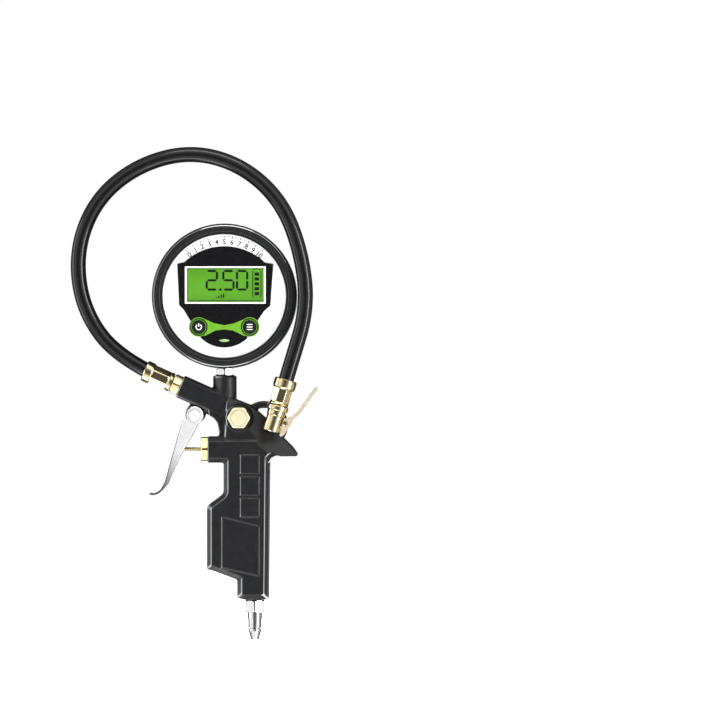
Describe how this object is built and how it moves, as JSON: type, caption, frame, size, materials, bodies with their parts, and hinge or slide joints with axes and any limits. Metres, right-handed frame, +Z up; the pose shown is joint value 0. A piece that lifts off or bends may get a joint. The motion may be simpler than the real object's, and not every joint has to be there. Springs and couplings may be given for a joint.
{
  "type": "tire pressure gauge",
  "caption": "Pistol-grip tyre inflator with digital gauge in a rubber boot, trigger valve, air-inlet plug, rubber hose and brass clip-on chuck.",
  "frame": {"origin": "on the axis of the air-inlet plug, at the shoulder under its hexagon, where the coupling's collar seats", "axes": "+Z up the grip from the inlet plug towards the gauge, +X from the trigger to the back of the hand, -Y out of the gauge's face"},
  "size_m": [0.1612, 0.0403, 0.32],
  "materials": {
    "black_casting": "black powder coat on cast aluminium",
    "chrome_plate": "polished chrome plate",
    "pale_brass": "polished pale brass",
    "bright_steel": "bright drawn steel",
    "seal_rubber": "matt nitrile rubber",
    "hose_rubber": "glossy black rubber hose",
    "boot_rubber": "satin moulded rubber",
    "case_plastic": "textured black plastic",
    "button_plastic": "glossy black key cap",
    "dial_white": "satin white plastic",
    "panel_black": "gloss black overlay",
    "trim_green": "bright green plastic",
    "clear_lens": "clear lens",
    "lcd_green": "green backlit display",
    "segment_black": "dark display segments",
    "board_green": "green solder mask",
    "switch_black": "moulded black plastic",
    "cell_wrap": "plain blue cell sleeve"
  },
  "bodies": {
    "gun": {"gun_body": "black_casting", "inlet_plug": "chrome_plate", "inlet_plug_seal": "seal_rubber", "inlet_filter_screen": "bright_steel", "junction_plug": "pale_brass", "junction_plug_washer": "seal_rubber", "valve_gland_nut": "pale_brass", "gland_packing": "seal_rubber", "packing_follower": "pale_brass", "valve_seat": "pale_brass", "trigger_pivot_pin": "chrome_plate", "trigger_pin_clip": "chrome_plate", "rubber_boot": "boot_rubber", "gauge_case_rear": "case_plastic", "gauge_front_frame": "case_plastic", "case_screws": "bright_steel", "battery_door": "case_plastic", "battery_door_screw": "bright_steel", "batteries": "cell_wrap", "battery_contacts": "pale_brass", "dial_faceplate": "dial_white", "display_panel": "panel_black", "button_trim": "trim_green", "lcd_frame": "dial_white", "lcd_glass": "clear_lens", "lcd_module": "lcd_green", "status_led": "trim_green", "lcd_segments": "segment_black", "circuit_board": "board_green", "tactile_switches": "switch_black", "gauge_stem": "chrome_plate", "gauge_stem_seal": "seal_rubber", "pressure_sensor": "bright_steel", "outlet_fitting": "pale_brass", "outlet_ferrule": "pale_brass", "air_hose": "hose_rubber", "chuck_body": "pale_brass", "chuck_seal": "seal_rubber", "chuck_adapter": "pale_brass", "chuck_ferrule": "pale_brass", "chuck_lever_rivet": "pale_brass", "chuck_lever_spring": "bright_steel", "valve_spring": "bright_steel", "chuck_depressor_spring": "bright_steel"},
    "trigger": {"trigger_lever": "chrome_plate"},
    "valve": {"valve_stem": "bright_steel", "valve_poppet": "seal_rubber"},
    "power_key": {"power_button": "button_plastic"},
    "mode_key": {"mode_button": "button_plastic"},
    "clip_lever": {"chuck_lever": "pale_brass"},
    "depressor": {"chuck_depressor": "pale_brass"}
  },
  "joints": [
    {"name": "trigger_pivot", "type": "hinge", "parent": "gun", "child": "trigger", "pos_m": [-0.0391, 0, 0.1278], "axis": [0, -1, 0], "range_deg": [0, 10], "stiffness_Nm_per_rad": 0.25, "springref_deg": -20.05},
    {"name": "valve_stem_slide", "type": "slide", "parent": "gun", "child": "valve", "axis": [1, 0, 0], "range_m": [0, 0.0043], "deforming": ["valve_spring"]},
    {"name": "power_button_press", "type": "slide", "parent": "gun", "child": "power_key", "axis": [0, 1, 0], "range_m": [0, 0.0005], "stiffness_N_per_m": 400, "springref_m": -0.001},
    {"name": "mode_button_press", "type": "slide", "parent": "gun", "child": "mode_key", "axis": [0, 1, 0], "range_m": [0, 0.0005], "stiffness_N_per_m": 400, "springref_m": -0.001},
    {"name": "clip_lever_pivot", "type": "hinge", "parent": "gun", "child": "clip_lever", "pos_m": [0.0199, -0.0168, 0.12289], "axis": [0, -1, 0], "range_deg": [0, 20], "stiffness_Nm_per_rad": 0.08, "springref_deg": -17.19},
    {"name": "depressor_slide", "type": "slide", "parent": "gun", "child": "depressor", "axis": [0.2857, 0, 0.9583], "range_m": [0, 0.0012], "stiffness_N_per_m": 300, "springref_m": -0.001, "deforming": ["chuck_depressor_spring"]}
  ],
  "couplings": [
    {"joint": "valve_stem_slide", "follows": "trigger_pivot", "m_per_rad": 0.0243}
  ]
}
